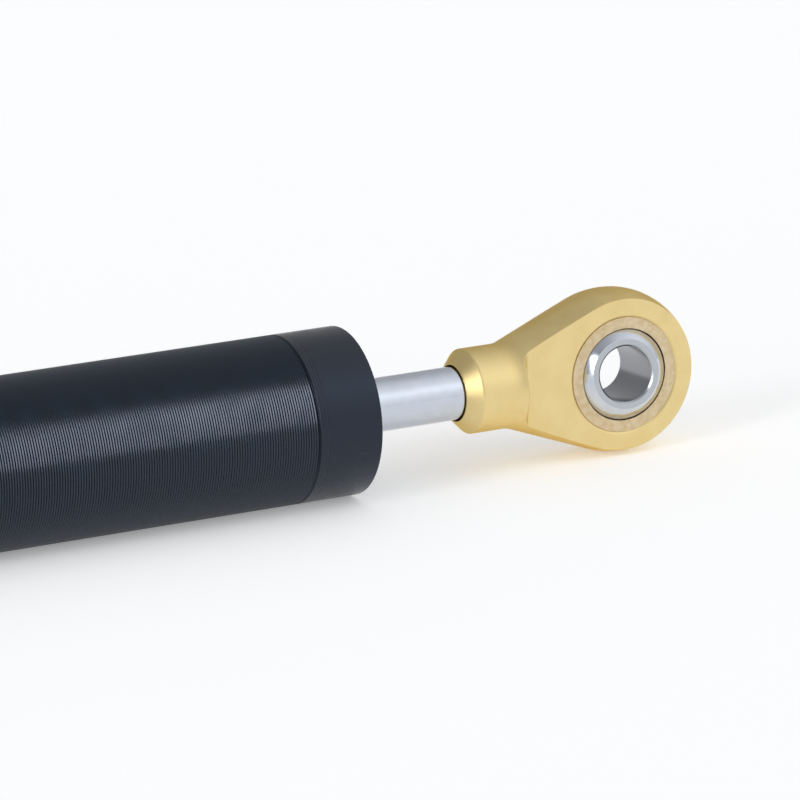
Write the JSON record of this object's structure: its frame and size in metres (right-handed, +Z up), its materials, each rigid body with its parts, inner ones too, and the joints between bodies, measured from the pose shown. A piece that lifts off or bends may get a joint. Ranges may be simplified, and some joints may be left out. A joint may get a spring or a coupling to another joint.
{
  "type": "steering damper",
  "caption": "Linear steering damper: grooved barrel with a through rod, spherical bearing in the rod eye and a click adjuster knob at the rear.",
  "frame": {"origin": "middle of the barrel, on the rod's axis", "axes": "+X along the rod towards the eye, +Z up, the race's bore along Y"},
  "size_m": [0.2619, 0.025, 0.025],
  "materials": {
    "black_barrel": "black anodised, finely grooved",
    "black_cap": "black anodised, satin",
    "chrome_rod": "hard chromed, ground and polished",
    "gold_eye": "gold anodised, satin",
    "bronze": "bare bronze, machined",
    "steel": "ground",
    "plain_aluminium": "machined",
    "bush": "bronze bush",
    "rubber": "matt",
    "ring_plastic": "filled slide-ring plastic"
  },
  "bodies": {
    "barrel": {"barrel_tube": "black_barrel", "front_end_cap": "black_cap", "rear_end_cap": "black_cap", "front_cap_o_ring": "rubber", "rear_cap_o_ring": "rubber", "front_rod_bush": "bush", "rear_rod_bush": "bush", "front_rod_seal": "rubber", "rear_rod_seal": "rubber", "front_rod_wiper": "rubber", "rear_rod_wiper": "rubber"},
    "ring": {"piston_ring": "ring_plastic"},
    "rod": {"piston_rod": "chrome_rod", "piston": "plain_aluminium", "ring_expander": "rubber", "front_piston_washer": "steel", "rear_piston_washer": "steel", "front_piston_clip": "steel", "rear_piston_clip": "steel", "rod_eye": "gold_eye", "bearing_race": "bronze", "adjuster_housing": "plain_aluminium", "knob_clip": "steel", "detent_ball": "steel", "detent_spring": "steel"},
    "ball": {"bearing_ball": "steel"},
    "knob": {"adjuster_knob": "black_cap", "knob_cap": "black_cap"},
    "needle": {"adjuster_needle": "steel", "needle_o_ring": "rubber"}
  },
  "joints": [
    {"name": "rod_slide", "type": "slide", "parent": "barrel", "child": "ring", "axis": [1, 0, 0], "range_m": [-0.015, 0.053]},
    {"name": "rod_spin", "type": "hinge", "parent": "ring", "child": "rod", "pos_m": [0, 0, 0], "axis": [1, 0, 0], "continuous": true},
    {"name": "ball_tilt", "type": "hinge", "parent": "rod", "child": "ball", "pos_m": [0.10985, 0, 0], "axis": [0.6239, 0, 0.7815], "range_deg": [-4.1, 19.9]},
    {"name": "knob_turn", "type": "hinge", "parent": "rod", "child": "knob", "pos_m": [-0.127, 0, 0], "axis": [1, 0, 0], "range_deg": [-450, 450]},
    {"name": "needle_slide", "type": "slide", "parent": "rod", "child": "needle", "axis": [1, 0, 0], "range_m": [-0.00088, 0.00088]}
  ],
  "couplings": [
    {"joint": "needle_slide", "follows": "knob_turn", "m_per_rad": 0.00011141}
  ]
}
